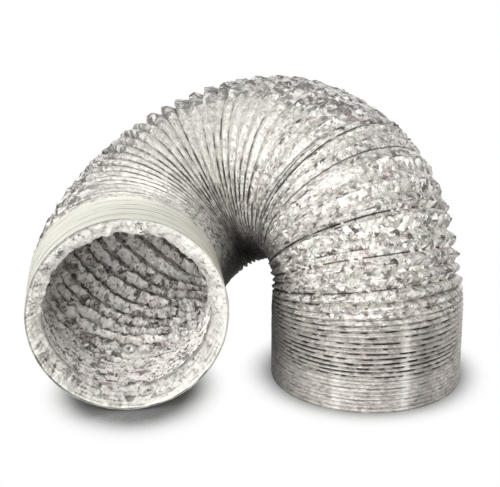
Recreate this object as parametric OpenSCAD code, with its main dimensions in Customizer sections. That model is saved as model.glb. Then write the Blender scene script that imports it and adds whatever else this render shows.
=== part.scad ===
// Flexible air duct, nominal 152 mm bore: two plies of aluminium foil laminate bonded
// around one spring-wire helix. It stands on one gathered end, bends over in an arch
// and lies on the floor at the other gathered end, the open mouth.
//
// The duct is divided into sections that part in flat planes halfway between two turns
// of the wire. Each section holds three pieces: outer foil, wire and inner foil.
// The helix is drawn as one closed hoop for each turn, because the sections part there.
// +Z is up, and the origin is the centre of the standing end, on the floor.

/* [Duct] */
// Outside radius of the foil over a turn of wire
crest_r = 77.4; // [77:0.1:78]
// Radius of the clear bore inside the gathered cuffs
fold_r = 64.2; // [62:0.1:66]
// Radius of a hoop of wire, to the middle of the wire
hoop_r = 75.1; // [74.9:0.05:75.15]
// Thickness of the spring wire
wire_d = 1; // [0.8:0.1:1]
// Thickness of a foil ply, with its share of the bonding film
ply_t = 0.35; // [0.25:0.05:0.35]

/* [Turns] */
// Distance between turns where the duct is pushed together
closed_pitch = 3.25; // [3.15:0.05:3.4]
// Turns in the cuff that stands on the floor
standing_cuff_turns = 8; // [6:1:8]
// Turns in each of the two closed groups above the standing cuff
standing_turns = 6; // [5:1:6]
// Turns in each of the five sections that rise and of the three that come down
slope_turns = 4; // [3:1:4]
// Turns in each of the four sections over the top of the bend
top_turns = 3; // [2:1:3]
// Turns over which the distance between turns grows from closed to open
spread_turns = 6; // [5:1:6]
// Turns in each of the two closed groups behind the mouth cuff
mouth_turns = 6; // [5:1:6]
// Turns in the cuff at the mouth
mouth_cuff_turns = 5; // [4:1:5]

/* [Bend] */
// Height at which the middle line leaves the vertical
rise = 53.5; // [53:0.5:54]
// Upward pull on the start of the bend
rise_pull = 97.5; // [96:0.5:99]
// Control point of the rising side: across
near_x = -27.5; // [-29:0.5:-26]
// Control point of the rising side: towards the back
near_y = 118; // [117:0.5:119]
// Control point of the rising side: height
near_z = 192; // [191:0.5:193]
// Control point of the falling side: across
far_x = -152.5; // [-154:0.5:-151]
// Control point of the falling side: towards the back
far_y = 144; // [143:0.5:145]
// Control point of the falling side: height
far_z = 147.5; // [146:0.5:149]
// Backward pull on the end of the bend
mouth_pull = 114; // [112:1:116]
// Sideways place of the middle of the mouth
mouth_x = -186.5; // [-188:0.5:-185.5]
// Depth of the middle of the mouth
mouth_y = -74; // [-75:0.5:-73]
// Straight length behind the mouth
mouth_straight = 45; // [44:0.5:47]
// Swing of the mouth to the right, in degrees
mouth_swing = 7.5; // [7:0.5:8]
// Lift of the mouth's face, in degrees
mouth_lift = 1; // [0.5:0.1:1.2]
// Length of middle line that one turn's plane is squared to, each way
square_reach = 28; // [27:0.5:28]

/* [Pleats] */
// Deepest pleat in the bend
pleat_depth = 7; // [5:0.5:7.5]
// Depth of a pleat for each millimetre between two turns
pleat_slope = 0.45; // [0.3:0.05:0.5]
// Half the width of a closed pleat's fold over the wire
lobe_half = 1.15; // [1.1:0.05:1.2]
// Corners around a bent ply
corners = 18; // [18:2:20]

/* [Hidden] */
$fn = 96;
// Clear gap between two sections where they part
part_gap = 0.4;
// Room between the two plies, and between a ply and the wire
film = 0.15;
// Distance between turns at which a pleat lies flat
flat_pitch = 1.3;
// Steps in which the middle line of the bend is measured
line_steps = 160;
// Length by which the middle line is carried on past each end of the duct
run_on = 60;
// Clearance of the duct over the floor behind the mouth
floor_gap = 0.05;
// Point that every turn leans towards: the crotch of the arch
crotch = [-92, 30, 75];

// Closed sections at each end of the duct
closed_sections = 3;

bend_turns = [
  for (i = [1:5]) slope_turns,
  for (i = [1:4]) top_turns,
  for (i = [1:3]) slope_turns
];
turns_up = standing_cuff_turns + 2 * standing_turns;
turns_out = mouth_cuff_turns + 2 * mouth_turns;
bend_count = sum(bend_turns);
SECTION_TURNS = concat(
  [standing_cuff_turns, standing_turns, standing_turns],
  bend_turns,
  [mouth_turns, mouth_turns, mouth_cuff_turns]
);
LAST_SECTION = len(SECTION_TURNS) - 1;

// ---- Middle line ----

function unit(v) = v / norm(v);
// Sum of the first n numbers of a list
function sum_first(list, n) = n == 0 ? 0 : [for (i = [0:n - 1]) list[i]] * [for (i = [0:n - 1]) 1];
function sum(list) = sum_first(list, len(list));

mouth_heading = [
  sin(mouth_swing) * cos(mouth_lift),
  -cos(mouth_swing) * cos(mouth_lift),
  sin(mouth_lift)
];
mouth_height = crest_r + floor_gap + mouth_straight * sin(mouth_lift);
mouth_centre = [mouth_x, mouth_y, mouth_height];
bend_end = mouth_centre - mouth_straight * mouth_heading;
controls = [
  [0, 0, rise],
  [0, 0, rise + rise_pull],
  [near_x, near_y, near_z],
  [far_x, far_y, far_z],
  bend_end - mouth_pull * mouth_heading,
  bend_end
];

// Point at part t of the curve with six control points
function curve(t) =
  let (u = 1 - t)
  u^5 * controls[0] + 5 * u^4 * t * controls[1] + 10 * u^3 * t^2 * controls[2]
    + 10 * u^2 * t^3 * controls[3] + 5 * u * t^4 * controls[4] + t^5 * controls[5];

line = concat(
  [[0, 0, -run_on]],
  [for (i = [0:line_steps]) curve(i / line_steps)],
  [mouth_centre + run_on * mouth_heading]
);
// Distance along the middle line from the floor to each point of it
function step_after(i) = i < len(line) - 1 ? norm(line[i + 1] - line[i]) : 0;
stations = [
  for (i = 0, s = -run_on; i < len(line); s = s + step_after(i), i = i + 1) s
];
duct_length = stations[len(line) - 1] - run_on;
line_x = [for (i = [0:len(line) - 1]) [stations[i], line[i].x]];
line_y = [for (i = [0:len(line) - 1]) [stations[i], line[i].y]];
line_z = [for (i = [0:len(line) - 1]) [stations[i], line[i].z]];

function on_line(s) = [lookup(s, line_x), lookup(s, line_y), lookup(s, line_z)];

// Frame of a turn at station s: centre, direction to the inner side of the bend,
// direction across it, and the normal of the turn's plane
function frame(s) =
  let (
    centre = on_line(s),
    normal = unit(on_line(s + square_reach) - on_line(s - square_reach)),
    lean = crotch - centre,
    inward = unit(lean - (lean * normal) * normal)
  )
  [centre, inward, cross(normal, inward), normal];

// Point of a turn at an angle from the inner side of the bend
function on_turn(f, angle, r) = f[0] + r * cos(angle) * f[1] + r * sin(angle) * f[2];

// ---- Turns ----

function ease(t) = let (u = min(1, max(0, t))) u * u * (3 - 2 * u);
function openness(i) = ease(i / spread_turns) * ease((bend_count - i) / spread_turns);

bend_from = turns_up * closed_pitch;
bend_to = duct_length - turns_out * closed_pitch;
openings = [for (i = [0:bend_count - 1]) openness(i + 0.5)];
extra_pitch = (bend_to - bend_from - bend_count * closed_pitch) / sum(openings);

// Stations of the valleys between turns, from the floor to the mouth
valleys = concat(
  [for (i = [0:turns_up - 1]) i * closed_pitch],
  [for (i = [0:bend_count]) bend_from + i * closed_pitch + extra_pitch * sum_first(openings, i)],
  [for (i = [1:turns_out]) bend_to + i * closed_pitch]
);
valley_frames = [for (s = valleys) frame(s)];
turn_frames = [for (i = [0:len(valleys) - 2]) frame((valleys[i] + valleys[i + 1]) / 2)];

function first_turn(section) = sum_first(SECTION_TURNS, section);
function after_turn(section) = first_turn(section + 1);
function is_closed(section) =
  section < closed_sections || section > LAST_SECTION - closed_sections;

// ---- Bent plies ----

// Depth of the pleat in valley v at an angle, from the distance between the turns
// on its two sides
function pleat(v, angle) =
  let (
    below = turn_frames[max(0, v - 1)],
    above = turn_frames[min(len(turn_frames) - 1, v)],
    apart = norm(on_turn(above, angle, crest_r) - on_turn(below, angle, crest_r))
  )
  min(pleat_depth, max(0, pleat_slope * (apart - flat_pitch)));

inner_crest_r = hoop_r - wire_d / 2 - film;

// Outer radius of a ply: 0 is the outer foil and 1 the inner foil
function crest_radius(ply) = ply == 0 ? crest_r : inner_crest_r;
function valley_radius(ply, v, angle) =
  let (outer = crest_r - pleat(v, angle))
  ply == 0 ? outer : min(inner_crest_r, outer - ply_t - film);

// One row of a ply's surface in valley v, moved along the duct by shift
function valley_row(ply, v, inset, shift = 0) = [
  for (k = [0:corners - 1])
    let (angle = k * 360 / corners, f = valley_frames[v])
    on_turn(f, angle, valley_radius(ply, v, angle) - inset) + shift * f[3]
];
function turn_row(ply, t, inset) = [
  for (k = [0:corners - 1]) on_turn(turn_frames[t], k * 360 / corners, crest_radius(ply) - inset)
];

// Rows of one surface of a ply from valley a to valley b, with a crest between valleys
function pleated_rows(ply, a, b, inset) = concat(
  [valley_row(ply, a, inset, part_gap / 2), turn_row(ply, a, inset)],
  [for (v = [a + 1:1:b - 1]) each [valley_row(ply, v, inset), turn_row(ply, v, inset)]],
  [valley_row(ply, b, inset, -part_gap / 2)]
);
// The same for a ply that lies flat, with a row for every second valley
function flat_rows(ply, a, b, inset) = concat(
  [valley_row(ply, a, inset, part_gap / 2)],
  [for (v = [a + 2:2:b - 1]) valley_row(ply, v, inset)],
  [valley_row(ply, b, inset, -part_gap / 2)]
);

// Two triangles between corner k and the next of two rows, given by their first points
function strip(k, low, high) =
  let (n = (k + 1) % corners)
  [[low + k, high + k, high + n], [low + k, high + n, low + n]];

// Closed shell between the rows of its outer surface and the rows of its inner surface
module shell(outside, inside) {
  rows = len(outside);
  base = rows * corners;
  points = concat([for (row = outside) each row], [for (row = inside) each row]);
  walls = [
    for (i = [0:rows - 2], k = [0:corners - 1])
      each concat(
        strip(k, i * corners, (i + 1) * corners),
        strip(k, base + (i + 1) * corners, base + i * corners)
      )
  ];
  ends = [
    for (k = [0:corners - 1])
      each concat(strip(k, base, 0), strip(k, (rows - 1) * corners, base + (rows - 1) * corners))
  ];
  polyhedron(points = points, faces = concat(walls, ends));
}

module bent_ply(ply, section) {
  a = first_turn(section);
  b = after_turn(section);
  if (ply == 1 && is_closed(section))
    shell(flat_rows(ply, a, b, 0), flat_rows(ply, a, b, ply_t));
  else
    shell(pleated_rows(ply, a, b, 0), pleated_rows(ply, a, b, ply_t));
}

// ---- Gathered cuffs ----

// Moves a shape drawn around Z to a frame; way is 1 along the duct and -1 back into it
module place(f, way = 1) {
  u = f[1];
  v = way * f[2];
  w = way * f[3];
  multmatrix([
    [u.x, v.x, w.x, f[0].x],
    [u.y, v.y, w.y, f[0].y],
    [u.z, v.z, w.z, f[0].z]
  ])
    children();
}

// Outline of one side of a gathered ply, from its lip at 0 to where the cuff parts:
// a fold of radius top over each wire and a land of radius low between folds
function gathered_side(turns, top, low, half, lip) = concat(
  [[fold_r, lip], [top, lip]],
  [
    for (i = [0:turns - 1])
      let (middle = (i + 0.5) * closed_pitch)
      each concat(
        i == 0 ? [] : [[low, middle - half], [top, middle - half]],
        [[top, middle + half], [low, middle + half]]
      )
  ],
  [[low, turns * closed_pitch - part_gap / 2]]
);

// One ply of a cuff, as a solid of revolution around Z
module gathered_ply(turns, top, low, half, lip) {
  outside = gathered_side(turns, top, low, half, lip);
  inside = gathered_side(turns, top - ply_t, low - ply_t, half - ply_t, lip + ply_t);
  rotate_extrude()
    polygon(concat(outside, [for (i = [len(inside) - 1:-1:0]) inside[i]]));
}

module cuff_ply(ply, section) {
  turns = SECTION_TURNS[section];
  low = fold_r + ply_t;
  if (ply == 0) gathered_ply(turns, crest_r, low + ply_t + film, lobe_half, 0);
  else gathered_ply(turns, inner_crest_r, low, lobe_half - ply_t - film, ply_t + film);
}

module ply_of(ply, section) {
  if (section == 0) cuff_ply(ply, section);
  else if (section == LAST_SECTION) place(valley_frames[len(valleys) - 1], -1) cuff_ply(ply, section);
  else bent_ply(ply, section);
}

// ---- Pieces of a section ----

module outer_foil(section) {
  ply_of(0, section);
}

module inner_foil(section) {
  ply_of(1, section);
}

module wire(section) {
  for (t = [first_turn(section):after_turn(section) - 1])
    place(turn_frames[t])
      rotate_extrude() translate([hoop_r, 0]) circle(d = wire_d, $fn = 24);
}

// ---- Sub-parts, numbered in sections from the standing end ----

module standing_cuff_outer_foil() { color("silver") outer_foil(0); }
module standing_cuff_wire() { color("dimgray") wire(0); }
module standing_cuff_inner_foil() { color("lightgray") inner_foil(0); }
module standing_2_outer_foil() { color("silver") outer_foil(1); }
module standing_2_wire() { color("dimgray") wire(1); }
module standing_2_inner_foil() { color("lightgray") inner_foil(1); }
module standing_3_outer_foil() { color("silver") outer_foil(2); }
module standing_3_wire() { color("dimgray") wire(2); }
module standing_3_inner_foil() { color("lightgray") inner_foil(2); }
module bend_1_outer_foil() { color("silver") outer_foil(3); }
module bend_1_wire() { color("dimgray") wire(3); }
module bend_1_inner_foil() { color("lightgray") inner_foil(3); }
module bend_2_outer_foil() { color("silver") outer_foil(4); }
module bend_2_wire() { color("dimgray") wire(4); }
module bend_2_inner_foil() { color("lightgray") inner_foil(4); }
module bend_3_outer_foil() { color("silver") outer_foil(5); }
module bend_3_wire() { color("dimgray") wire(5); }
module bend_3_inner_foil() { color("lightgray") inner_foil(5); }
module bend_4_outer_foil() { color("silver") outer_foil(6); }
module bend_4_wire() { color("dimgray") wire(6); }
module bend_4_inner_foil() { color("lightgray") inner_foil(6); }
module bend_5_outer_foil() { color("silver") outer_foil(7); }
module bend_5_wire() { color("dimgray") wire(7); }
module bend_5_inner_foil() { color("lightgray") inner_foil(7); }
module bend_6_outer_foil() { color("silver") outer_foil(8); }
module bend_6_wire() { color("dimgray") wire(8); }
module bend_6_inner_foil() { color("lightgray") inner_foil(8); }
module bend_7_outer_foil() { color("silver") outer_foil(9); }
module bend_7_wire() { color("dimgray") wire(9); }
module bend_7_inner_foil() { color("lightgray") inner_foil(9); }
module bend_8_outer_foil() { color("silver") outer_foil(10); }
module bend_8_wire() { color("dimgray") wire(10); }
module bend_8_inner_foil() { color("lightgray") inner_foil(10); }
module bend_9_outer_foil() { color("silver") outer_foil(11); }
module bend_9_wire() { color("dimgray") wire(11); }
module bend_9_inner_foil() { color("lightgray") inner_foil(11); }
module bend_10_outer_foil() { color("silver") outer_foil(12); }
module bend_10_wire() { color("dimgray") wire(12); }
module bend_10_inner_foil() { color("lightgray") inner_foil(12); }
module bend_11_outer_foil() { color("silver") outer_foil(13); }
module bend_11_wire() { color("dimgray") wire(13); }
module bend_11_inner_foil() { color("lightgray") inner_foil(13); }
module bend_12_outer_foil() { color("silver") outer_foil(14); }
module bend_12_wire() { color("dimgray") wire(14); }
module bend_12_inner_foil() { color("lightgray") inner_foil(14); }
module mouth_3_outer_foil() { color("silver") outer_foil(15); }
module mouth_3_wire() { color("dimgray") wire(15); }
module mouth_3_inner_foil() { color("lightgray") inner_foil(15); }
module mouth_2_outer_foil() { color("silver") outer_foil(16); }
module mouth_2_wire() { color("dimgray") wire(16); }
module mouth_2_inner_foil() { color("lightgray") inner_foil(16); }
module mouth_cuff_outer_foil() { color("silver") outer_foil(17); }
module mouth_cuff_wire() { color("dimgray") wire(17); }
module mouth_cuff_inner_foil() { color("lightgray") inner_foil(17); }

standing_cuff_outer_foil();
standing_cuff_wire();
standing_cuff_inner_foil();
standing_2_outer_foil();
standing_2_wire();
standing_2_inner_foil();
standing_3_outer_foil();
standing_3_wire();
standing_3_inner_foil();
bend_1_outer_foil();
bend_1_wire();
bend_1_inner_foil();
bend_2_outer_foil();
bend_2_wire();
bend_2_inner_foil();
bend_3_outer_foil();
bend_3_wire();
bend_3_inner_foil();
bend_4_outer_foil();
bend_4_wire();
bend_4_inner_foil();
bend_5_outer_foil();
bend_5_wire();
bend_5_inner_foil();
bend_6_outer_foil();
bend_6_wire();
bend_6_inner_foil();
bend_7_outer_foil();
bend_7_wire();
bend_7_inner_foil();
bend_8_outer_foil();
bend_8_wire();
bend_8_inner_foil();
bend_9_outer_foil();
bend_9_wire();
bend_9_inner_foil();
bend_10_outer_foil();
bend_10_wire();
bend_10_inner_foil();
bend_11_outer_foil();
bend_11_wire();
bend_11_inner_foil();
bend_12_outer_foil();
bend_12_wire();
bend_12_inner_foil();
mouth_3_outer_foil();
mouth_3_wire();
mouth_3_inner_foil();
mouth_2_outer_foil();
mouth_2_wire();
mouth_2_inner_foil();
mouth_cuff_outer_foil();
mouth_cuff_wire();
mouth_cuff_inner_foil();
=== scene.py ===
import math

import bmesh
import bpy
import numpy as np
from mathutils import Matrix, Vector, noise


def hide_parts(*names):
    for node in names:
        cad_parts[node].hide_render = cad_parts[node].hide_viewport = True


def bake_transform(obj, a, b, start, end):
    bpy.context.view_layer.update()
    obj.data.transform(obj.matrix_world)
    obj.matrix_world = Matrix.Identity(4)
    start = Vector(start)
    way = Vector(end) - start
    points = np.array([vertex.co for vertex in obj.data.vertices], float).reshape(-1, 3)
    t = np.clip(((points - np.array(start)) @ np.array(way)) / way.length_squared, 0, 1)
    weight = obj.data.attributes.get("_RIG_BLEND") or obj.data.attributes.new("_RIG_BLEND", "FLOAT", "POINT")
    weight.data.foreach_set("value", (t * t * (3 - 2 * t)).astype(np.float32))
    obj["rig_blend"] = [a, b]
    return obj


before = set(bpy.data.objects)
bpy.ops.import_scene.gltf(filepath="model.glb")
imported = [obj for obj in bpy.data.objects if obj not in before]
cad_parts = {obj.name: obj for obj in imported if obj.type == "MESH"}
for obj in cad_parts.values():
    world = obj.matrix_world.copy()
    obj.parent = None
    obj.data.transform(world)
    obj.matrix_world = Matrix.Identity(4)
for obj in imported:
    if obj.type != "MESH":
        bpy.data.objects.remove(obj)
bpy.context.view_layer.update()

# In the names below, s is a station along the duct, from the standing end to the mouth, i is a piece,
# j a turn, v a valley (valley j comes before turn j), and t a place across a turn, from -0.5 to 0.5.

# ------------------------------------------------ sizes, in millimetres as in the solid model
MM = 0.001              # in metres, the unit of every mesh here
CREST_R = 77.4          # over the foil on a wire turn
FOLD_R = 64.2           # inner edge of the gathered folds at both cuffs
HOOP_R = 75.1           # centreline of the wire
WIRE_D = 1.0
WALL_AT_WIRE = 3.4      # both plies and the wire between them
CLOSED = 3.25           # spacing of the turns where the duct is closed up
FLOOR_GAP = 0.05
LOWEST = 0.06           # the crumpled foil stays this far above the floor

# turns in each section, from the standing end to the mouth
STANDING_CUFF, STANDING_SECTION = 8, 6
BEND_SECTIONS = [4, 4, 4, 4, 4, 3, 3, 3, 3, 4, 4, 4]
MOUTH_SECTION, MOUTH_CUFF = 6, 5
SECTIONS = [STANDING_CUFF, STANDING_SECTION, STANDING_SECTION, *BEND_SECTIONS,
            MOUTH_SECTION, MOUTH_SECTION, MOUTH_CUFF]
NAMES = ["standing_cuff", "standing_2", "standing_3", *[f"bend_{i}" for i in range(1, 13)],
         "mouth_3", "mouth_2", "mouth_cuff"]
SPREAD = 6              # turns over which the spacing opens and closes again

# the path: upright up to RISE, then a curve drawn by four pulls, then straight to the mouth
RISE, RISE_PULL, MOUTH_PULL = 53.5, 97.5, 114
NEAR_PULL, FAR_PULL = np.array([-27.5, 118, 192.0]), np.array([-152.5, 144, 147.5])
MOUTH_X, MOUTH_Y, STRAIGHT = -186.5, -74, 45            # middle of the mouth, and the straight behind it
SWING, LIFT = math.radians(7.5), math.radians(1)        # how far the mouth is turned aside and raised
PATH_POINTS = 161       # along the curve
REACH = 28              # the direction at a station is taken this far to either side of it
CROTCH = np.array([-92, 30, 75.0])      # the point under the arch that each turn's inner side faces
RUN_ON = 60             # straight line past either end

COLUMNS = 360           # points round the duct
ROUND = np.linspace(0, 2 * math.pi, COLUMNS + 1)
ROUND[-1] = 0.0         # the last column lies on the first, and is merged with it
COS, SIN = np.cos(ROUND), np.sin(ROUND)
ALL, NONE = np.ones(COLUMNS + 1), np.zeros(COLUMNS + 1)         # 1 and 0 at every column


# ------------------------------------------------ helpers
def unit(p):
    """Directions of length 1 along the vectors p."""
    return p / np.linalg.norm(p, axis=-1, keepdims=True)


def ease(t):
    """0 up to t 0, 1 from t 1, and a smooth rise between them."""
    t = np.clip(t, 0, 1)
    return t * t * (3 - 2 * t)


def towards(a, b, share):
    """a at share 0, b at share 1."""
    return a + (b - a) * share


def zone(s, stops):
    """The value at station s of a table of stations and values."""
    return np.interp(s, [p for p, _ in stops], [v for _, v in stops])


def ring_noise(place, fast):
    """Noise round the duct, one value a column; fast says how quickly it changes."""
    return np.array([noise.noise(Vector((place, fast * math.cos(a), fast * math.sin(a)))) for a in ROUND])


def rounds(v, fast, seed):
    """Noise round the duct that each turn or valley v has to itself."""
    return ring_noise(v * 5.3 + seed, fast)


def face_noise(height, fast, twist=0):
    """Noise on a gathered end, one value a column."""
    turned = [a + twist for a in ROUND]
    return np.array([noise.noise(Vector((fast * math.cos(a), fast * math.sin(a), height)))
                     for a in turned])


# ------------------------------------------------ the duct's path
def make_path():
    """Points along the middle of the duct with their stations, which start at 0 at the standing end."""
    level = math.cos(LIFT)
    head = np.array([math.sin(SWING) * level, -math.cos(SWING) * level, math.sin(LIFT)])
    mouth = np.array([MOUTH_X, MOUTH_Y, CREST_R + FLOOR_GAP + STRAIGHT * math.sin(LIFT)])
    start, end = np.array([0, 0, RISE]), mouth - STRAIGHT * head
    pulls = [start, start + [0, 0, RISE_PULL], NEAR_PULL, FAR_PULL, end - MOUTH_PULL * head, end]
    t = np.linspace(0, 1, PATH_POINTS)[:, None]
    n = len(pulls) - 1
    curve = sum(math.comb(n, k) * (1 - t) ** (n - k) * t ** k * pull for k, pull in enumerate(pulls))
    line = np.vstack([[0, 0, -RUN_ON], curve, mouth + RUN_ON * head])
    steps = np.linalg.norm(np.diff(line, axis=0), axis=1)
    return line, np.concatenate([[0], np.cumsum(steps)]) - RUN_ON


LINE, STATIONS = make_path()
LENGTH = STATIONS[-1] - RUN_ON


def at(s):
    """The middle of the duct at stations s."""
    return np.stack([np.interp(s, STATIONS, LINE[:, k]) for k in range(3)], axis=-1)


def frames(s):
    """Centre, direction to the inner side of the bend, sideways and along the duct, at stations s."""
    c = at(s)
    along = unit(at(s + REACH) - at(s - REACH))
    inward = CROTCH - c
    inward = unit(inward - (inward * along).sum(-1, keepdims=True) * along)
    return c, inward, np.cross(along, inward), along


def on(s, r):
    """Points round the duct, at a station and a radius for each column; column 0 is on the inner side."""
    c, inward, side, _ = frames(s)
    return c + r[..., None] * (COS[..., None] * inward + SIN[..., None] * side)


def make_valleys():
    """Stations of the valleys between the turns: closed up at both ends, open round the bend."""
    up = STANDING_CUFF + 2 * STANDING_SECTION
    out = MOUTH_CUFF + 2 * MOUTH_SECTION
    n = sum(BEND_SECTIONS)
    opening = np.array([ease((i + .5) / SPREAD) * ease((n - i - .5) / SPREAD) for i in range(n)])
    start, stop = up * CLOSED, LENGTH - out * CLOSED
    spare = (stop - start - n * CLOSED) / opening.sum()
    bend = [start + i * CLOSED + spare * opening[:i].sum() for i in range(n + 1)]
    return np.concatenate([np.arange(up) * CLOSED, bend, stop + np.arange(1, out + 1) * CLOSED])


VALLEYS = make_valleys()
TURNS = len(VALLEYS) - 1
MIDS = (VALLEYS[:-1] + VALLEYS[1:]) / 2
FIRST = np.concatenate([[0], np.cumsum(SECTIONS)])                  # first turn of each section
MIDDLES = [first + n // 2 for first, n in zip(FIRST, SECTIONS)]     # middle turn of each section

# ------------------------------------------------ turns that stray and lie together
# where a few turns lie together: station, half width, how hard they are pulled in
BUNCHES = [(157.5, 15, .72), (136, 7, .5), (114.5, 10, .6), (90, 8, .4), (243, 9, .3), (286, 9, .3)]
BUNCH_EDGE = 1.6        # how much wider than a bunch the calm round it is
STRAY = .42             # share of its free spacing by which an open turn strays
STACK_STRAY = .9        # stray of the turns in the upper part of the closed stack


def bunch_shift(s):
    """How far the bunches pull a turn towards their middles."""
    return sum(-pull * (s - mid) * np.exp(-((s - mid) / wide) ** 2) for mid, wide, pull in BUNCHES)


def shift_of(j):
    """How far turn j lies from its even place along the duct, at each column."""
    s = MIDS[j]
    free = max(0.0, VALLEYS[j + 1] - VALLEYS[j] - CLOSED)
    bunched = max(math.exp(-((s - mid) / (BUNCH_EDGE * wide)) ** 2) * min(1, 1.6 * pull)
                  for mid, wide, pull in BUNCHES)
    in_stack = STACK_STRAY * float(ease((s - 18) / 12) * (1 - ease((s - 60) / 10)))
    stray = (STRAY * free * (1 - .8 * bunched) + in_stack) * ring_noise(j * 7.31, 1.3)
    return stray + bunch_shift(s) * min(1.0, free / 4)


SHIFT = np.array([shift_of(j) for j in range(TURNS)])
CRESTS = np.array([on(MIDS[j] + SHIFT[j], CREST_R * ALL) for j in range(TURNS)])
# spacing of the turns beside each valley, at each column
GAPS = np.vstack([CLOSED * ALL, np.linalg.norm(np.diff(CRESTS, axis=0), axis=2), CLOSED * ALL])
# mean station of each turn, and of each valley
ALONG = (MIDS[:, None] + SHIFT).mean(axis=1)
CREASES = np.concatenate([[0], (ALONG[:-1] + ALONG[1:]) / 2, [LENGTH]])

# ------------------------------------------------ how the foil lies, as tables of stations and values
# the closed stack of the standing end, the smooth band by the mouth, and the first open turns, which are
# crumpled and hardly folded
STACK = [(0, 1), (55, 1), (67, 0), (LENGTH, 0)]
BAND = [(0, 0), (LENGTH - 92, 0), (LENGTH - 66, .5), (LENGTH - 50, 1), (LENGTH, 1)]
LOOSE = [(0, 0), (58, 0), (67, 1), (98, 1), (110, 0), (LENGTH, 0)]
# how deep the folds are on the outer side, and the share of that on the flanks
SLACK = [(0, 1), (64, 1), (78, 1.8), (118, 1.8), (138, .25), (185, .25), (212, 1.5), (300, 2), (378, 2.2),
         (394, .8), (LENGTH, .5)]
SIDE_FOLDS = [(0, 1), (64, 1), (78, .35), (118, .5), (175, .6), (215, .3), (400, .2), (LENGTH - 60, .4),
              (LENGTH, 1)]
# how far the foil is drawn tight over the wire (mm), drawn flat on the flanks, crumpled, and broken into
# sharp facets on the outer side
SLIM = [(0, 0), (62, 0), (84, 1.5), (185, 1.5), (215, 0), (LENGTH, 0)]
CALM = [(0, 0), (120, .2), (175, .45), (215, .85), (400, 1), (LENGTH - 60, .8), (LENGTH, 0)]
CRUMPLED = [(0, .12), (22, .2), (36, .5), (56, .5), (68, .9), (100, .9), (120, .8), (190, .8), (230, 1.1),
            (LENGTH - 80, 1), (LENGTH - 52, .1), (LENGTH, .06)]
SHARD_ZONE = [(0, 0), (140, .1), (190, .7), (230, 1), (LENGTH - 85, 1), (LENGTH - 62, 0), (LENGTH, 0)]

# how far each column belongs to one side of the duct
OUTER_SIDE = ease((-COS - .35) / .45)
NOT_INNER = ease((.55 - COS) / .5)
BEHIND = ease((-SIN - .15) / .4)                                # away from the mouth
FLANK = np.clip(1.25 - np.abs(COS + .05) * 1.5, 0, 1)
SHARDS = ease((-COS - .33) / .16) * (1 - .7 * BEHIND)           # outer side, where the facets are sharp
UNDER = .5 - .5 * SIN                                           # bottom of the mouth
LEFT = .5 - .5 * COS                                            # left of the mouth, from in front
LIP_SIDE = np.clip(1.5 * np.maximum(LEFT, UNDER) - .65, 0, 1)   # where the lip is gathered hardest

# ------------------------------------------------ depth of the folds
SHUT_GAP, OPENING = 3.0, 6.0        # spacing where a fold starts to open, and what it opens over
LOBE = 3.4                          # depth of an open fold on the outer side
LEAST_BEHIND = 1.3                  # least slack of the folds on the back
BAND_FOLD = .7                      # depth of the folds in the smooth band
SHUT_FOLD, LOOSE_LESS = 2.3, 1.4    # depth of a shut fold in the bend, and how much less if it is loose
STACK_FOLD, THIRD_FOLD = .5, .6     # depth of a fold in the stack, and how much more in every third one
UPPER_FOLD = 2.1                    # and in the upper part of the stack
INNER_SHUT, INNER_OPEN = 12.4, 7.2  # depth of a fold's ridge inside the duct, shut and open
INNER_LESS = 3.6                    # how much less that is for a shut fold in the bend
PLIES_APART = 2                     # how far an open ridge reaches past its fold, at the least
STACK_FROM, STACK_OVER = 22, 12     # where the upper part of the stack starts, and what it comes in over


def upper(s):
    """1 in the looser upper part of the closed stack."""
    return ease((s - STACK_FROM) / STACK_OVER)


def openness(v):
    """0 where the turns beside valley v lie together, 1 where its fold stands open."""
    return ease((GAPS[v] - SHUT_GAP) / OPENING)


def fold_depths(v):
    """Depth of valley v from outside, and of its ridge from inside, at each column."""
    s, opened = VALLEYS[v], openness(v)
    drift = .5 + ring_noise(v * 3.77 + 40, 1.6)
    slack = zone(s, SLACK)
    slack = slack + BEHIND * max(0, LEAST_BEHIND - slack)
    lobe = LOBE * slack * np.clip(.55 + .9 * drift, .3, 1.25)
    sides = towards(towards(OUTER_SIDE, 1, zone(s, SIDE_FOLDS)), 1, BEHIND)
    shut = SHUT_FOLD - LOOSE_LESS * zone(s, LOOSE) * NOT_INNER
    bend = towards(shut, BAND_FOLD + lobe * sides, opened)
    stacked = STACK_FOLD + THIRD_FOLD * (v % 3 == 0) + UPPER_FOLD * upper(s)
    outer = towards(towards(bend, stacked, zone(s, STACK)), BAND_FOLD, zone(s, BAND))
    in_bend = (1 - opened) * (1 - zone(s, STACK)) * (1 - zone(s, BAND))
    inner = towards(INNER_SHUT, INNER_OPEN, opened) - INNER_LESS * in_bend
    return outer, np.maximum(inner, (outer + PLIES_APART) * opened)


DEPTHS = [fold_depths(v) for v in range(TURNS + 1)]

# ------------------------------------------------ painted shade as dark lines in the valleys and on the crests, and painted highlights on ridges and crests
PINCH = 158.5           # station of the longest dark line
# lines of painted shade where the foil is pinched between two turns: station and strength
PINCHES = [(PINCH, 1), (143.6, .85), (113, .95), (94, .85), (79, .75), (243, .4), (286, .5)]
# finer folds of painted shade beside the longest line: distance from it and strength
PLEATS = [(-5.4, .7), (-2.4, 1), (2.3, 1), (5.2, .7)]
PINCH_REACH, PLEAT_REACH = 4.5, 16      # how near a valley, and a turn, has to be to take part in them
SHUT_LINE = 4.5         # spacing up to which a line is at its darkest
# spacing where a line has nearly gone, on the rising stretch between two stations, and elsewhere
RISING, RISING_GONE, GONE = (75, 200), 8.5, 12.5
LINE_HALF = .72         # half width of a dark line
LINE_SHARE = .24        # most of a turn's spacing that half a line takes up
INSIDE_HALF = .9        # half width of the line along the wire, inside
RIDGE_HALF = .5         # half width of the bright ridge beside a line
PLEAT_HALF = .7
DULL_HALF = .14         # half width of a dull line on a crest, as a share of its turn


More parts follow.
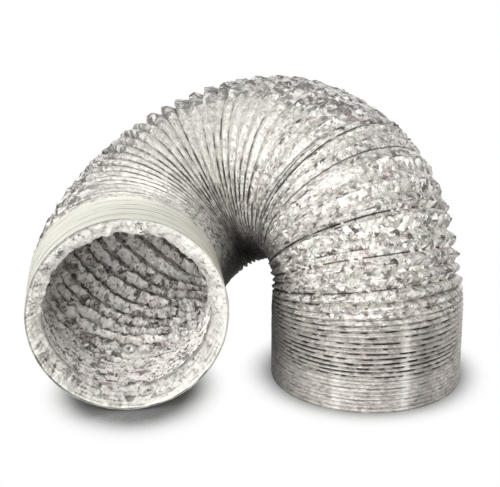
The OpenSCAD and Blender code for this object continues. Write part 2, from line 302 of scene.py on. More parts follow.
def open_line(v, rough, whole):
    """Painted shade as lines of the bend: where two turns lie close, along the back, and along the outer
    side.
    """
    s = CREASES[v]
    gone = RISING_GONE if RISING[0] < s < RISING[1] else GONE
    tight = 1 - ease((GAPS[v] - SHUT_LINE) / (gone - SHUT_LINE))
    line = (tight + .1 * (1 - tight)) * (.28 + .7 * whole) * (1 - .75 * zone(s, LOOSE) * NOT_INNER)
    line = np.maximum(line, .75 * BEHIND * whole)
    return np.maximum(line, .7 * OUTER_SIDE * zone(s, CALM) * ease((rough + .2) / .4))


def stack_line(v, rough):
    """Broken lines of painted shade in the closed stack, stronger in every third valley and in the upper
    part.
    """
    own = noise.noise(Vector((v * 3.1, 5.5, 0)))
    dashes = ease((rounds(v, 11, 17) + .5 * rough + .1 + .6 * own) / .25)
    return (.34 + .3 * (v % 3 == 0) + .66 * upper(CREASES[v])) * (.12 + .88 * dashes)


def line_strengths(v):
    """How dark the painted shade of the line along valley v is at each column, from outside."""
    s, rough = CREASES[v], rounds(v, 5, 9)
    whole = ease((rough + .42) / .5) * (.45 + .55 * ease((rounds(v, 14, 31) + .3) / .35))
    band = (.42 + .5 * (v % 3 == 0) + .2 * (v % 5 == 0)) * (.35 + .65 * whole)
    strength = towards(open_line(v, rough, whole), stack_line(v, rough), zone(s, STACK))
    strength = towards(strength, band, zone(s, BAND))
    pinch = max((power for mid, power in PINCHES if abs(s - mid) < PINCH_REACH), default=0)
    return np.maximum(strength, pinch * ease((rough + .75) / .5))


LINES = [line_strengths(v) for v in range(TURNS + 1)]


def inside_crease(j, t, v):
    """Painted shade of one row of turn j inside, along the wire; thin in most turns near the mouth."""
    wide = np.minimum(INSIDE_HALF, LINE_SHARE * GAPS[v])
    thin = 1 if CREASES[j] < LENGTH - 60 or j % 3 == 0 else .15
    broken = .35 + .65 * ease((rounds(j, 5, 3) + .3) / .4)
    return thin * broken * np.exp(-(abs(t) * GAPS[v] / wide) ** 2)


def pleat(mid, power, off):
    """Painted shade of one fine fold at distances off from the longest line."""
    return power * np.exp(-((off - mid) / PLEAT_HALF) ** 2) * ease((rounds(mid, 5, 1) + .5) / .5)


def outside_crease(j, t, v, s):
    """Painted light and shade of one row of turn j outside: painted shade in valleys, and below 0 painted
    highlights on ridges and crests.
    """
    away = (.5 - abs(t)) * GAPS[v]
    half = LINE_HALF + (.16 * ease((s - 26) / 10) - .1) * zone(s, STACK) - .1 * zone(s, BAND)
    half = np.minimum(half, LINE_SHARE * GAPS[v])
    ridge = .9 * LINES[v] * np.exp(-((away - half - 1) / RIDGE_HALF) ** 2) * (1 - zone(s, BAND))
    tight = ease((rounds(j, 7, 51) + .12 + .5 * noise.noise(Vector((j * 2.3, 8.1, 0)))) / .3)
    crest = .8 * tight * np.exp(-(t * GAPS[v]) ** 2) * ease((GAPS[v] - 4) / 3)
    dark = LINES[v] * np.exp(-(away / half) ** 4) - np.maximum(ridge, crest)
    # in the smooth band some turns show as dull lines of painted shade on the crest
    dull = .62 if j % 4 == 0 else .4 if j % 7 == 0 else 0
    dull = dull * (.5 + .5 * ease((rounds(j, 4, 61) + .3) / .4))
    dark = np.maximum(dark, dull * zone(s, BAND) * math.exp(-(t / DULL_HALF) ** 4))
    if abs(MIDS[j] - PINCH) < PLEAT_REACH:
        pitch = np.abs(np.mean(s) - s + np.diff(ALONG)[min(v, TURNS - 2)]).clip(2)
        pleats = [pleat(mid, power, (s - PINCH) * GAPS[v] / pitch) for mid, power in PLEATS]
        dark = np.maximum(dark, np.max(pleats, axis=0))
    return dark


# ------------------------------------------------ painted shade and painted reflections
# the hollow under the arch: its middle, how it is stretched, the radius of its deep part, and the width
# over which it fades
HOLLOW, HOLLOW_SHAPE, HOLLOW_R, HOLLOW_EDGE = np.array([-86, 24, 74]), np.array([1, 1.5, 1]), 20, 44
# painted reflections as upright streaks on the standing end: direction in degrees from the front, width,
# strength
PAINTED_REFLECTIONS = [(19.5, 3, 1.0), (-21, 4.5, .55), (33, 8, -.8), (-48, 14, -.45), (0, 8, -.25)]


def shade_at(p):
    """Painted shade: 1 deep in the hollow under the bend, 0 out in the light."""
    away = np.linalg.norm((p - HOLLOW) / HOLLOW_SHAPE, axis=-1)
    hollow = 1 - ease((away - HOLLOW_R) / HOLLOW_EDGE)
    # painted shade on the side of the standing end that faces the hollow
    x, z = p[..., 0], p[..., 2]
    facing = ease((-x - 54) / 23) * (1 - ease((-x - 80) / 8)) * (1 - ease((z - 70) / 60))
    return np.maximum(hollow, .78 * facing)


def sheen(p):
    """Painted reflections as streaks of light, above 0, and dark, below 0, by the direction that the
    standing end faces.
    """
    facing = np.degrees(np.arctan2(p[..., 0], -p[..., 1]))
    return sum(power * np.exp(-((facing - mid) / wide) ** 2) for mid, wide, power in PAINTED_REFLECTIONS)


# ------------------------------------------------ rows of points round the duct
# What each row says of its foil, mostly from 0 to 1: line (how dark its painted shade in a crease is, or
# below 0 how bright its painted highlight on a ridge), within (inside the duct), gathered (into the lip) and
# lit (facing the mouth, where the inside is painted lighter). turn and station say where the row belongs,
# and gap how far its turns are apart. make_skin adds calm, outer_side, band, stack, sheen and shade (painted
# shade).
LEAN = .22              # how far the open folds on the outer side lean over towards the mouth
BEAD = .30              # share of the turn's half spacing that hugs the wire
BEAD_DROP = .45         # how far the foil falls away over that share
LIP_IN = .6             # the lip starts this far inside the crest
LIP_BULGE = 1.6         # how far the gathered lip swells out of its slope
LIP_GATHER = 4.2        # depth of the gathers in it
LIP_DEPTH = 8.0         # how far the lip's inner edge lies back inside the mouth
LIP_SAG = 9             # how much further it lies back at the bottom
LIP_TURNS = 6           # turns that the lip hides from inside
END_FOLD = .3           # how deep the outermost fold at either end is, against the others
RIM_FROM = -.2          # from this t on, the last turn is gathered with the lip
# inside the duct, the wall of a turn that faces the mouth is painted lit
LIT_TO = .08            # up to this t, the wall of a turn faces the mouth
MOUTH_ROWS = 16
FOOT_ROWS = (1, .66, .33, 0)
# rows of one turn, from valley to valley; the last row is the first of the next turn
OUTSIDE_ROWS = (-.5, -.475, -.44, -.39, -.31, -.22, -.11, 0, .11, .22, .31, .39, .44, .475)
INSIDE_OPEN = (-.5, -.38, -.27, -.18, -.09, 0, .09, .18, .27, .38)
INSIDE_SHUT = (-.5, -.34, -.17, 0, .17, .34)
OPEN_TURN = .9          # spare spacing from which a turn takes the finer rows inside
AROUND = .55            # foil counted for each mm round the duct, so that its grain is longer that way
FOIL_A_TURN = 7         # foil along one turn where the duct is closed up
FOIL_AT = np.concatenate([[0], np.cumsum(np.maximum(np.diff(VALLEYS), FOIL_A_TURN))])
FOOT_GRAIN, MOUTH_GRAIN = -12, 14       # foil from the edge of an end face to its fold


def drawn_out(s):
    """Places on the duct as if it were straight and drawn out, for the grain of the foil."""
    along = np.interp(s, VALLEYS, FOIL_AT) + np.maximum(s - LENGTH, 0) + np.minimum(s, 0)
    return np.stack([AROUND * CREST_R * COS, AROUND * CREST_R * SIN, along], axis=-1) * MM


def skin_rows(low, high):
    """The rows of a skin as a closed loop: along the outside, over the lip, and back along the inside."""
    rows = [("outside", j, t) for j in range(low, high) for t in OUTSIDE_ROWS]
    rows.append(("outside", high - 1, .5))
    last = high
    if high == TURNS:
        rows += [("mouth", TURNS, y / MOUTH_ROWS) for y in range(MOUTH_ROWS + 1)]
        last = high - LIP_TURNS
    back = []
    for j in range(low, last):
        is_open = VALLEYS[j + 1] - VALLEYS[j] - CLOSED > OPEN_TURN
        back += [("inside", j, t) for t in (INSIDE_OPEN if is_open else INSIDE_SHUT)]
    back.append(("inside", last - 1, .5))
    rows += back[::-1]
    if low == 0:
        rows += [("foot", 0, y) for y in FOOT_ROWS]
    return rows + rows[:1]


def turn_places(j, t, v, inside):
    """Stations and radii of one row of turn j; t runs from -0.5 to 0.5 from valley to valley."""
    other = j + (1 if t > 0 else -1)
    if 0 <= other < TURNS:
        s = towards(MIDS[j] + SHIFT[j], MIDS[other] + SHIFT[other], abs(t))
    else:
        s = (MIDS[j] + t * CLOSED) * ALL
    y = np.clip((2 * abs(t) - BEAD) / (1 - BEAD), 0, 1)
    outer, inner = DEPTHS[v]
    if inside:
        return s, CREST_R - (WALL_AT_WIRE + (inner - WALL_AT_WIRE) * y ** .6)
    # round over the wire, then down a wall that is straight if the fold is shut, and full if it is open
    opened, calm = openness(v), zone(MIDS[j], CALM)
    bead = BEAD_DROP * min(1, (2 * abs(t) / BEAD) ** 2)
    drop = bead + (outer - BEAD_DROP) * y ** (.9 + (.5 - .25 * calm) * opened) + zone(MIDS[j], SLIM)
    s = s + LEAN * GAPS[v] * (1 - 4 * t * t) * opened * OUTER_SIDE * calm
    at_an_end = v == 0 or v == TURNS
    return s, CREST_R - drop * (END_FOLD if at_an_end else 1)


def turn_row(kind, j, t):
    """Points and finish of one row of turn j, outside or inside."""
    v = j + (1 if t > 0 else 0)
    inside = kind == "inside"
    s, r = turn_places(j, t, v, inside)
    line = inside_crease(j, t, v) if inside else outside_crease(j, t, v, s)
    rim = j == TURNS - 1 and t > RIM_FROM and not inside
    return {"points": on(s, r), "grain": drawn_out(s), "turn": j + .5 + t,
            "station": MIDS[j] + t * CLOSED, "gap": GAPS[v], "line": line,
            "within": inside * ALL, "gathered": rim * LIP_SIDE, "lit": (t < LIT_TO) * ALL}


def foot_row(y):
    """A row of the gathered foot, from its outer edge at y 0 to the edge of the fold at y 1."""
    r = (CREST_R - LIP_IN - y * (CREST_R - LIP_IN - FOLD_R)) * ALL
    s = (.25 + .5 * math.sin(math.pi * y)) * ALL
    return {"points": on(s, r), "grain": drawn_out(FOOT_GRAIN * y * ALL), "turn": 0, "station": 0,
            "gap": CLOSED * ALL, "line": NONE, "within": ALL, "gathered": NONE, "lit": ALL}


def mouth_line(y):
    """Painted shade in the lip's own creases: short radial ones on the left, fine rings at the bottom, and
    along its outer edge.
    """
    ray = ease((face_noise(.8 * y, 34, .06 * y) - .2) / .2)
    ray = ray * np.clip(1.3 * LEFT - .15, 0, 1) * math.sin(math.pi * min(1, y + .08))
    on_ring = round(y * MOUTH_ROWS) % 3 == 1
    ring = .5 * ease((UNDER - .45) / .3) * on_ring * ease((rounds(y * 9, 5, 21) + .15) / .3)
    return np.clip(.7 * ray + ring + (.2 + .35 * np.maximum(LEFT, UNDER)) * (y < .1), 0, 1)


def mouth_row(y):
    """A row of the mouth's gathered lip, from its outer edge at y 0 to the edge of the fold at y 1."""
    pulled = np.clip(.2 + 1.1 * LEFT * (1 - UNDER) + .35 * LEFT, 0, 1)
    gather = np.abs(face_noise(1.1 * y, 18))
    hill = math.sin(math.pi * y) ** .7 if 0 < y < 1 else 0
    edge = rounds(0, 5, 9) + .6 * rounds(0, 13, 4)
    back = (LIP_DEPTH + LIP_SAG * UNDER ** 2) * y ** 1.3 * (1 + .35 * edge)
    s = LENGTH - back + hill * (LIP_BULGE - LIP_GATHER * gather * pulled)
    r = CREST_R - LIP_IN - y * (CREST_R - LIP_IN - FOLD_R) + 1.6 * y * UNDER + 1.8 * y * edge
    return {"points": on(s, r), "grain": drawn_out((LENGTH + MOUTH_GRAIN * y) * ALL), "turn": TURNS,
            "station": LENGTH, "gap": CLOSED * ALL, "line": mouth_line(y),
            "within": .85 * UNDER * ease(2 * y - .3),
            "gathered": np.maximum(LIP_SIDE, ease(y / .2)) * (1 - .6 * UNDER), "lit": ALL}


def make_row(kind, j, t):
    """Points and finish of one row of any kind."""
    if kind == "mouth":
        return mouth_row(t)
    if kind == "foot":
        return foot_row(t)
    return turn_row(kind, j, t)


# ------------------------------------------------ crumpling
COARSE, FINE, SHARD = (6.5, 3.0), (3.1, 8.0), (8, 14.0)     # facets: size across and seed
CRUMPLE = 2.1           # height of the facets where the foil is fully crumpled
INSIDE_MORE = 1.9       # how many times higher they are inside the duct
INSIDE_CRUMPLED = .55   # the least that the foil is crumpled there, past the closed stack,
INSIDE_FROM = 60        # which ends at this station
SHARDS_STOP = 18        # the sharp facets inside stop this far short of the mouth,
SHARDS_FADE = 14        # after they fade over this much
TIGHT_LESS = .4         # how much lower they are where the foil is drawn tight over the wire


def facets(points, size, seed):
    """Distance from the nearest of many scattered points, which cuts the foil into facets."""
    offset = Vector((seed, seed * 1.7, -seed))
    far = [noise.voronoi(Vector(p) / size + offset)[0][0] for p in points.reshape(-1, 3)]
    return np.array(far).reshape(points.shape[:2])


def crumple(points, s, gap, within, calm):
    """The points of a skin, moved in and out by the facets of its foil."""
    strength = np.maximum(zone(s, CRUMPLED), INSIDE_CRUMPLED * within * (s > INSIDE_FROM))
    strength = strength * (.35 + .65 * ease((gap - 2) / 5))
    lump = .75 * facets(points, *COARSE) + .45 * facets(points, *FINE) - .55
    lump = lump - TIGHT_LESS * (zone(s, SLIM) > 1)
    shards = facets(points, *SHARD) - .5
    lump = lump * (1 - .65 * calm)
    lump = lump + 1.3 * shards * within * ease((LENGTH - SHARDS_STOP - s) / SHARDS_FADE)
    lump = lump + 1.1 * shards * SHARDS * zone(s, SHARD_ZONE) * ~within
    height = lump * strength * CRUMPLE * np.where(within, -INSIDE_MORE, 1.0)
    points = points + unit(points - at(s)) * height[..., None]
    points[..., 2] = np.maximum(points[..., 2], LOWEST)
    return points


# ------------------------------------------------ pieces, each across the joint of two sections
LAST = len(SECTIONS) - 2
STEP_FROM, STEP_TO, STEP_OVER = .16, .62, .22       # the two stretches of a turn where its walls open
WIRE_COLUMNS, WIRE_SIDES = 90, 6
SAME_PLACE = 1e-7       # points this close are merged, in metres


def turns_of(i):
    """The first turn of piece i and the one after its last: it runs from mid-section to mid-section."""
    return 0 if i == 0 else MIDDLES[i], TURNS if i == LAST else MIDDLES[i + 1]


def stair(turn):
    """Holds each wire turn and each crease rigid, so that only the walls of the folds open."""
    whole = np.floor(turn)
    part = turn - whole
    low = .5 * ease((part - STEP_FROM) / STEP_OVER)
    high = .5 + .5 * ease((part - STEP_TO) / STEP_OVER)
    return whole + np.where(part < .5, low, high)


def share_of(i, turn):
    """How far a turn of piece i has gone over from its first section to its second."""
    return np.clip((stair(turn) - MIDDLES[i]) / (MIDDLES[i + 1] - MIDDLES[i]), 0, 1)


def as_mesh(name, bm):
    """A mesh made from a bmesh, which is then let go."""
    mesh = bpy.data.meshes.new(name)
    bm.to_mesh(mesh)
    bm.free()
    return mesh


def into_scene(mesh):
    """A piece with this mesh and its name."""
    piece = bpy.data.objects.new(mesh.name, mesh)
    bpy.context.scene.collection.objects.link(piece)
    return piece


def sew(mesh):
    """A piece from a rolled-up grid, with the edges merged where they meet and its faces outwards."""
    bm = bmesh.new()
    bm.from_mesh(mesh)
    bmesh.ops.remove_doubles(bm, verts=bm.verts, dist=SAME_PLACE)
    bmesh.ops.recalc_face_normals(bm, faces=bm.faces)
    bm.to_mesh(mesh)
    bm.free()
    return into_scene(mesh)


def roll_up(name, points, grain, facts):
    """A grid, closed both ways, whose points are moved to their places on the duct."""
    n_rows = len(points) - 1
    bm = bmesh.new()
    bmesh.ops.create_grid(bm, x_segments=COLUMNS, y_segments=n_rows, size=.5)
    mesh = as_mesh(name, bm)
    flat = np.zeros(len(mesh.vertices) * 3)
    mesh.vertices.foreach_get("co", flat)
    flat = flat.reshape(-1, 3)
    col = np.rint((flat[:, 0] + .5) * COLUMNS).astype(int)
    row = np.rint((flat[:, 1] + .5) * n_rows).astype(int)
    mesh.vertices.foreach_set("co", (points[row, col] * MM).ravel())
    for fact, values in facts.items():
        layer = mesh.attributes.new(fact, "FLOAT", "POINT")
        layer.data.foreach_set("value", values[row, col].astype(np.float32))
    layer = mesh.attributes.new("grain", "FLOAT_VECTOR", "POINT")
    layer.data.foreach_set("vector", grain[row, col].astype(np.float32).ravel())
    return sew(mesh)


def make_skin(i):
    """The laminate of piece i: both plies with the folds between their turns."""
    rows = [make_row(*row) for row in skin_rows(*turns_of(i))]
    row = {fact: np.array([r[fact] for r in rows]) for fact in rows[0]}
    s = row["station"][:, None]
    within = row["within"] > .9
    calm = zone(s, CALM) * FLANK * (1 - BEHIND) * ~within
    points = crumple(row["points"], s, row["gap"], within, calm)
    facts = {fact: row[fact] for fact in ("line", "within", "gathered", "lit")}
    facts["calm"] = calm
    facts["outer_side"] = SHARDS * zone(s, SHARD_ZONE)
    facts["band"] = zone(s, BAND) * ALL
    facts["stack"] = zone(s, STACK) * ALL
    # painted reflections as upright streaks on the standing end
    facts["sheen"] = facts["stack"] * sheen(points)
    # painted shade under the arch and on the side of the standing end that faces it
    facts["shade"] = shade_at(points)
    facts["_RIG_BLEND"] = share_of(i, row["turn"])[:, None] * ALL
    return roll_up(f"foil_{NAMES[i]}_to_{NAMES[i + 1]}", points, row["grain"], facts)


def make_wire(i):
    """The turns of spring wire inside piece i."""
    bm = bmesh.new()
    weights = []
    for j in range(*turns_of(i)):
        s = MIDS[j] + SHIFT[j]
        core = on(s, HOOP_R * ALL)
        c, _, _, along = frames(s)
        radial = unit(core - c)
        hoop = bmesh.ops.create_grid(bm, x_segments=WIRE_COLUMNS, y_segments=WIRE_SIDES, size=.5)
        for v in hoop["verts"]:
            k = round((v.co.x + .5) * WIRE_COLUMNS) % WIRE_COLUMNS * (COLUMNS // WIRE_COLUMNS)
            b = 2 * math.pi * (round((v.co.y + .5) * WIRE_SIDES) % WIRE_SIDES) / WIRE_SIDES
            out = math.cos(b) * radial[k] + math.sin(b) * along[k]
            v.co = Vector((core[k] + WIRE_D / 2 * out) * MM)
        weights += [share_of(i, j + .5)] * len(hoop["verts"])
    mesh = as_mesh(f"wire_{NAMES[i]}_to_{NAMES[i + 1]}", bm)
    layer = mesh.attributes.new("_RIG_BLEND", "FLOAT", "POINT")
    layer.data.foreach_set("value", np.array(weights, np.float32))
    return sew(mesh)


# ------------------------------------------------ finishes
class Made:
    """A socket, with Python's operators for the sums that start from it."""

    def __init__(self, finish, socket):
        self.finish, self.socket = finish, socket

    def _sum(self, kind, a, b):
        return self.finish.node("ShaderNodeMath", {"operation": kind}, {0: a, 1: b})

    def __add__(self, o):
        return self._sum("ADD", self, o)

    __radd__ = __add__

    def __mul__(self, o):
        return self._sum("MULTIPLY", self, o)

    __rmul__ = __mul__

    def __sub__(self, o):
        return self._sum("SUBTRACT", self, o)

    def __rsub__(self, o):
        return self._sum("SUBTRACT", o, self)


class Finish:
    """The nodes of a material or of the world, made one by one."""

    def __init__(self, owner):
        owner.use_nodes = True
        self.owner, self.tree = owner, owner.node_tree
        self.tree.nodes.clear()

    def node(self, kind, settings=None, values=None, out=0):
        """A node with its settings made first, then its sockets' values and links; gives one output."""
        n = self.tree.nodes.new(kind)
        for key, value in (settings or {}).items():
            if key == "stops":
                ramp = n.color_ramp.elements
                while len(ramp) < len(value):
                    ramp.new(1)
                for e, (where, shade) in zip(ramp, value):
                    e.position, e.color = where, (*shade, 1)
            else:
                setattr(n, key, value)
        for key, value in (values or {}).items():
            if isinstance(value, Made):
                self.tree.links.new(value.socket, n.inputs[key])
            else:
                n.inputs[key].default_value = value
        return Made(self, n.outputs[out]) if n.outputs else None

    def fact(self, name):
        """A number that the mesh holds at each point."""
        return self.node("ShaderNodeAttribute", {"attribute_name": name}, out="Fac")

    def vector(self, kind, *values, out="Vector"):
        """A sum on vectors."""
        return self.node("ShaderNodeVectorMath", {"operation": kind}, dict(enumerate(values)), out)

    def clouds(self, place, scale, detail, out="Fac"):
        """Soft noise."""
        values = {"Vector": place, "Scale": scale, "Detail": detail}
        return self.node("ShaderNodeTexNoise", values=values, out=out)

    def cells(self, place, scale, out="Color"):
        """Cells round scattered points, each with a random colour of its own."""
        return self.node("ShaderNodeTexVoronoi", values={"Vector": place, "Scale": scale}, out=out)

    def cell_edges(self, place, scale):
        """How far a place is from the nearest edge of those cells."""
        return self.node("ShaderNodeTexVoronoi", {"feature": "DISTANCE_TO_EDGE"},
                         {"Vector": place, "Scale": scale}, "Distance")

    def channel(self, colour, which=0):
        """Red, green or blue of a colour, as a number."""
        return self.node("ShaderNodeSeparateColor", values={0: colour}, out=which)

    def ramp(self, share, stops):
        """The colour at a share of the way along the stops."""
        return self.node("ShaderNodeValToRGB", {"stops": stops}, {0: share})

    def between(self, value, low, high):
        """0 at low, 1 at high, and a smooth rise between them."""
        return self.node("ShaderNodeMapRange", {"interpolation_type": "SMOOTHSTEP"},
                         {"Value": value, "From Min": low, "From Max": high})

    def open_sky(self, samples, reach):
        """1 where nothing stands within reach, down to 0 where it is all closed in."""
        return self.node("ShaderNodeAmbientOcclusion", {"samples": samples}, {"Distance": reach}, "AO")

    def mix(self, share, a, b, how="MIX"):
        """Colour a at share 0, colour b at share 1."""
        a, b = [(*c, 1) if isinstance(c, tuple) else c for c in (a, b)]
        settings = {"data_type": "RGBA", "blend_type": how}
        return self.node("ShaderNodeMix", settings, {0: share, 6: a, 7: b}, 2)

    def shader(self, **values):
        """Ends the material with one shader; gives the material."""
        values = {name.replace("_", " "): value for name, value in values.items()}
        surface = self.node("ShaderNodeBsdfPrincipled", values=values)
        self.node("ShaderNodeOutputMaterial", values={"Surface": surface})
        return self.owner


# patterns in the foil and on the wire, as the number of them in a metre
BIG_FACETS, SMALL_FACETS, FINE_FACETS, FACET_EDGES, SHARD_FACETS = 250, 640, 700, 380, 230
WARPS, STROKES, TINTS, RAGGED, PATCHES, WIRE_MARKS = 260, 190, 60, 55, 42, 900
# how far the facets are pushed out of true, how high they are, and how near other foil has to be for the
# shade under the arch, in metres
SOFT_WARP, SHARP_WARP, FACET_HEIGHT, SHADE_REACH = (.003,) * 3, (.001,) * 3, .0012, .1

# painted reflections: tones of the facets, each as if it mirrored a different part of the room, from the
# darkest to the brightest
OUTSIDE_TONES = [(.05, (.12, .10, .09)), (.22, (.32, .29, .265)), (.42, (.50, .47, .435)),
                 (.65, (.60, .565, .525)), (.9, (.77, .74, .695))]
INSIDE_TONES = [(.14, (.10, .085, .078)), (.30, (.40, .365, .345)), (.42, (.74, .69, .665)),
                (.58, (.95, .92, .89)), (.78, (1, .98, .95))]
# painted shade: darker, harsher tones for the sharp facets on the outer side of the bend
SHADED_SHARD_TONES = [(.20, (.04, .03, .027)), (.38, (.12, .10, .093)), (.50, (.29, .265, .245)),
              (.62, (.56, .53, .50)), (.74, (1, .97, .94))]

# colours laid over the facets
GATHERED_FOIL, SMOOTH_FOIL, CALM_FOIL = (.90, .89, .83), (.77, .76, .68), (.78, .77, .71)
STACKED_FOIL = (.45, .415, .385)
# painted light and shade inside the duct: walls turned away from the mouth painted dim, walls turned to it
# painted lit
DIM_WALL, LIT_WALL = (.46, .415, .39), (1, .975, .95)       # inside: turned away from the mouth, and to it
# painted shade and painted glints along the edges of the facets
DARK_STROKE, BRIGHT_STROKE = (.045, .038, .033), (.95, .93, .89)
DARK_SLIVER, BRIGHT_SLIVER = (.05, .04, .035), (1, .98, .95)
# painted reflections of green and red surroundings
GREEN_REFLECTION, RED_REFLECTION = (.66, .72, .61), (.71, .61, .59)
# painted reflections on the standing end, dark and bright
DARK_REFLECTION, BRIGHT_REFLECTION = (.26, .24, .22), (.86, .84, .80)
# painted shade in the creases, and painted highlights on the ridges beside them
CREASE, RIDGE = (.04, .033, .029), (.90, .88, .82)
# painted shade deep under the arch
DEEP_SHADE = (.022, .017, .014)
DARK_WIRE, BRIGHT_WIRE = (.34, .33, .31), (.62, .61, .59)


def foil():
    """Bright crumpled laminate with painted reflections, highlights and shade, laid out by what the skins
    say of themselves at each point.
    """
    f = Finish(bpy.data.materials.new("crumpled_foil"))
    still = f.node("ShaderNodeTexCoord", out="Object")
    grain = f.node("ShaderNodeAttribute", {"attribute_name": "grain"}, out="Vector")
    line, within, lit, streak = f.fact("line"), f.fact("within"), f.fact("lit"), f.fact("sheen")
    band, stack, shade, gathered = f.fact("band"), f.fact("stack"), f.fact("shade"), f.fact("gathered")
    calm, outer_side = f.fact("calm"), f.fact("outer_side")

    # the facets lie on the foil's own grain, a little out of true
    warp = f.clouds(still, WARPS, 3, "Color")
    soft = f.vector("MULTIPLY_ADD", warp, SOFT_WARP, grain)
    sharp = f.vector("MULTIPLY_ADD", warp, SHARP_WARP, grain)
    big = f.channel(f.cells(soft, BIG_FACETS))
    small = f.channel(f.cells(soft, SMALL_FACETS))
    shard = f.channel(f.cells(sharp, SHARD_FACETS))
    stroke = 1 - f.between(f.cell_edges(soft, FACET_EDGES), .03, .16)
    sliver = 1 - f.between(f.cell_edges(sharp, SHARD_FACETS), .02, .12)
    spread = f.clouds(still, STROKES, 2, "Color")
    dark_part, bright_part = f.channel(spread, 0), f.channel(spread, 1)
    ragged = f.clouds(still, RAGGED, 4)
    patch = f.between(f.clouds(still, PATCHES, 4), .38, .66)
    smooth = f.between(band + ragged * .7 - .35, .35, .75) * (1 - gathered) * (1 - within)
    # the outer side of the bend, where the sharp facets are painted darker as painted shade
    strip = f.between(outer_side + ragged * .8 - .4, .25, .6)

    # painted reflections as tones of the outer and the inner foil, with the outer side of the bend darker as
    # painted shade
    broken = shard * .65 + small * .35
    outer = f.ramp(big * .2 + small * .8 - patch * .08 + .01, OUTSIDE_TONES)
    outer = f.mix(strip * .95, outer, f.ramp(broken, SHADED_SHARD_TONES))
    outer = f.mix(gathered * .8, outer, GATHERED_FOIL)
    # inside, painted light on the walls that face the mouth and painted shade on the others
    inner = f.mix(within, f.ramp(broken, INSIDE_TONES), f.mix(lit, DIM_WALL, LIT_WALL), "MULTIPLY")
    colour = f.mix(within, outer, inner)

    # painted shade and painted glints along the edges of the facets
    dark = stroke * f.between(dark_part, .50, .60) * (.35 + .5 * patch + .15 * gathered + .4 * strip)
    colour = f.mix(dark * (1 - calm * .6), colour, DARK_STROKE)
    colour = f.mix(stroke * f.between(bright_part, .50, .60) * .8, colour, BRIGHT_STROKE)
    bright = sliver * f.between(bright_part, .45, .52) * (within * .9 + strip * .3)
    colour = f.mix(bright, colour, BRIGHT_SLIVER)
    dark = sliver * f.between(bright_part, .45, .38) * (within * .8 + strip * .7)
    colour = f.mix(dark, colour, DARK_SLIVER)

    # painted reflections of green and red surroundings, and what lies smooth or close together
    tint = f.clouds(still, TINTS, 3)
    colour = f.mix(f.between(tint, .5, .75) * .35, colour, GREEN_REFLECTION)
    colour = f.mix(f.between(tint, .48, .25) * .35, colour, RED_REFLECTION)
    colour = f.mix(calm * .5, colour, CALM_FOIL)
    colour = f.mix(smooth * .9, colour, SMOOTH_FOIL)
    colour = f.mix(stack * (1 - within) * .45, colour, STACKED_FOIL)
    # painted reflections as light and dark upright streaks on the standing end
    colour = f.mix(f.between(streak, 0, 1) * .7, colour, BRIGHT_REFLECTION)
    colour = f.mix(f.between(0 - streak, 0, 1) * .7, colour, DARK_REFLECTION)

    # painted shade in the creases, painted highlights on the ridges beside them, and painted shade under the
    # arch
    colour = f.mix(f.between(0 - line, 0, .7) * .75, colour, RIDGE)
    colour = f.mix(f.between(line, 0, 1) * .96, colour, CREASE)
    close = f.between(f.open_sky(4, SHADE_REACH), .9, .6)
    colour = f.mix(shade * close * .93, colour, DEEP_SHADE)

    height = f.cells(soft, BIG_FACETS, "Distance") * .7 + f.cells(soft, FINE_FACETS, "Distance") * .3
    height = height * (1 - smooth * .92) * (1 - calm * .5)
    normal = f.node("ShaderNodeBump", values={"Strength": .6, "Distance": FACET_HEIGHT, "Height": height})
    metal = (.34 - .16 * within) * (1 - strip * .9)
    rough = .38 + .25 * small + .2 * strip
    return f.shader(Base_Color=colour, Metallic=metal, Roughness=rough, Normal=normal)


def drawn_wire():
    """Bare spring wire with fine marks from the drawing die."""
    f = Finish(bpy.data.materials.new("drawn_wire"))
    drawn = f.clouds(f.node("ShaderNodeTexCoord", out="Object"), WIRE_MARKS, 2)
    colour = f.mix(drawn, DARK_WIRE, BRIGHT_WIRE)
    return f.shader(Base_Color=colour, Metallic=1.0, Roughness=.3 + .2 * drawn)


# ------------------------------------------------ build
def dress(piece, finish, i):
    """Gives a piece its finish, and joins it to the two sections that it spans."""
    piece.data.materials.append(finish)
    layer = piece.data.attributes["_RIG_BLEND"].data
    stepped = np.zeros(len(layer), np.float32)
    layer.foreach_get("value", stepped)
    start, end = at(VALLEYS[FIRST[i]]) * MM, at(VALLEYS[FIRST[i + 1]]) * MM
    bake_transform(piece, NAMES[i], NAMES[i + 1], start=tuple(start), end=tuple(end))
    # the even weights just made give way to the piece's own, which go up in steps
    piece.data.attributes["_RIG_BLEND"].data.foreach_set("value", stepped)


FOIL, WIRE = foil(), drawn_wire()
for i in range(LAST + 1):
    skin, hoops = make_skin(i), make_wire(i)
    dress(skin, FOIL, i)
    dress(hoops, WIRE, i)
    sections = [NAMES[i], NAMES[i + 1]] if i == LAST else [NAMES[i]]
    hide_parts(*[f"{n}_{ply}_foil" for n in sections for ply in ("outer", "inner")])
    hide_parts(*[f"{n}_wire" for n in sections])

# ------------------------------------------------ floor, light and camera, in metres
FLOOR_R = 6
# painted shadow: the floor's matte colour darkens right under the duct
FLOOR_PALE, PAINTED_FLOOR_SHADOW = (.93,) * 3, (.25,) * 3     # the floor's matte colour, and right under the duct
# the lying end on a floor that is squeezed front to back: its middle, the squeeze, and its half width
BARREL_AT, BARREL_SQUEEZE, BARREL_HALF = (-.188, -.03, 0), (1, .8, 1), .05
SHADOW_REACH = .18      # how near the duct has to be for the floor to take its shadow
# how far from the two ends the painted shadow on the floor pales, and its matte shadow ends, and how open
# the sky over it is by then
PALES, SHADOW_ENDS, OPEN_SKY = (-.01, .025), (-.008, .028), (.73, .92)
WHITE = (1, 1, 1, 1)
ROOM_LIGHT = .40
LIT_AT = (-.09, .03, .1)        # the point that the lamps face
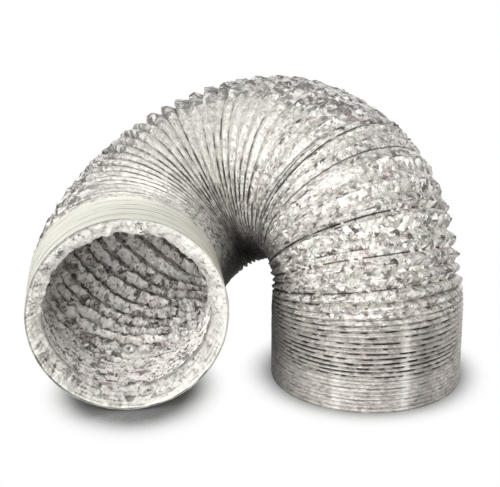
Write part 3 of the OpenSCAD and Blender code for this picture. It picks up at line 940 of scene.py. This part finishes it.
# lamps: name, place, size, power
LAMPS = [("key", (-.4, -1.05, 1.05), 1.2, 10), ("fill", (-.45, -1.6, .4), .8, 11.5),
         ("back", (.3, 1.3, .25), 1.0, 6)]
CAMERA_AT = (-.08184, -.99808, .46392)
LENS, SENSOR = 95.28, 36        # in millimetres
LOOKS_DOWN, LOOKS_LEFT = math.radians(19.46), math.radians(.75)


def floor_finish():
    """White to the camera, apart from the object's own shadow close by its two ends, which is deepened there
    by painted shadow.
    """
    f = Finish(bpy.data.materials.new("pale_floor"))
    place = f.node("ShaderNodeTexCoord", out="Object")
    foot = f.vector("DISTANCE", place, (0, 0, 0), out="Value")
    barrel = f.vector("DISTANCE", f.vector("MULTIPLY", place, BARREL_SQUEEZE), BARREL_AT, out="Value")
    near = {0: foot - CREST_R * MM, 1: barrel - BARREL_HALF}
    near = f.node("ShaderNodeMath", {"operation": "MINIMUM"}, near)
    # painted shadow: the matte colour darkens towards the two ends
    matte = f.mix(f.between(near, *PALES), PAINTED_FLOOR_SHADOW, FLOOR_PALE)
    matte = f.node("ShaderNodeBsdfDiffuse", values={"Color": matte})
    glow = f.node("ShaderNodeEmission", values={"Color": WHITE, "Strength": 1.0})
    closed = 1 - f.between(f.open_sky(8, SHADOW_REACH), *OPEN_SKY)
    shadow = (1 - f.between(near, *SHADOW_ENDS)) * closed
    ray = f.node("ShaderNodeLightPath", out="Is Camera Ray")
    both = f.node("ShaderNodeMixShader", values={0: ray * (1 - shadow), 1: matte, 2: glow})
    f.node("ShaderNodeOutputMaterial", values={"Surface": both})
    return f.owner


def make_floor():
    """A round floor for the duct to stand and lie on."""
    bm = bmesh.new()
    bmesh.ops.create_circle(bm, cap_ends=True, segments=96, radius=FLOOR_R)
    floor = into_scene(as_mesh("floor", bm))
    floor.data.materials.append(floor_finish())


def make_world():
    """An even room light, which is white where the camera, a mirror or a clear part shows it."""
    world = bpy.data.worlds.new("studio")
    bpy.context.scene.world = world
    f = Finish(world)
    seen = f.node("ShaderNodeLightPath", out="Is Camera Ray")
    for kind in ("Is Glossy Ray", "Is Transmission Ray"):
        ray = f.node("ShaderNodeLightPath", out=kind)
        seen = f.node("ShaderNodeMath", {"operation": "MAXIMUM"}, {0: seen, 1: ray})
    room = f.node("ShaderNodeBackground", values={"Color": WHITE, "Strength": ROOM_LIGHT})
    white = f.node("ShaderNodeBackground", values={"Color": WHITE, "Strength": 1.0})
    both = f.node("ShaderNodeMixShader", values={0: seen, 1: room, 2: white})
    f.node("ShaderNodeOutputWorld", values={"Surface": both})


def make_lamp(name, where, size, power):
    """A round lamp that faces the duct."""
    lamp = bpy.data.lights.new(name, "AREA")
    lamp.shape, lamp.size, lamp.energy = "DISK", size, power
    holder = bpy.data.objects.new(name, lamp)
    bpy.context.scene.collection.objects.link(holder)
    holder.location = where
    holder.rotation_euler = (Vector(LIT_AT) - Vector(where)).to_track_quat("-Z", "Y").to_euler()


def make_camera():
    """A long lens, in front of the mouth and a little above it."""
    lens = bpy.data.cameras.new("camera")
    lens.lens, lens.sensor_width = LENS, SENSOR
    camera = bpy.data.objects.new("camera", lens)
    bpy.context.scene.collection.objects.link(camera)
    camera.location = CAMERA_AT
    camera.rotation_euler = (math.pi / 2 - LOOKS_DOWN, 0, LOOKS_LEFT)
    bpy.context.scene.camera = camera


make_floor()
make_world()
for lamp in LAMPS:
    make_lamp(*lamp)
make_camera()
bpy.context.scene.view_settings.view_transform = "Standard"
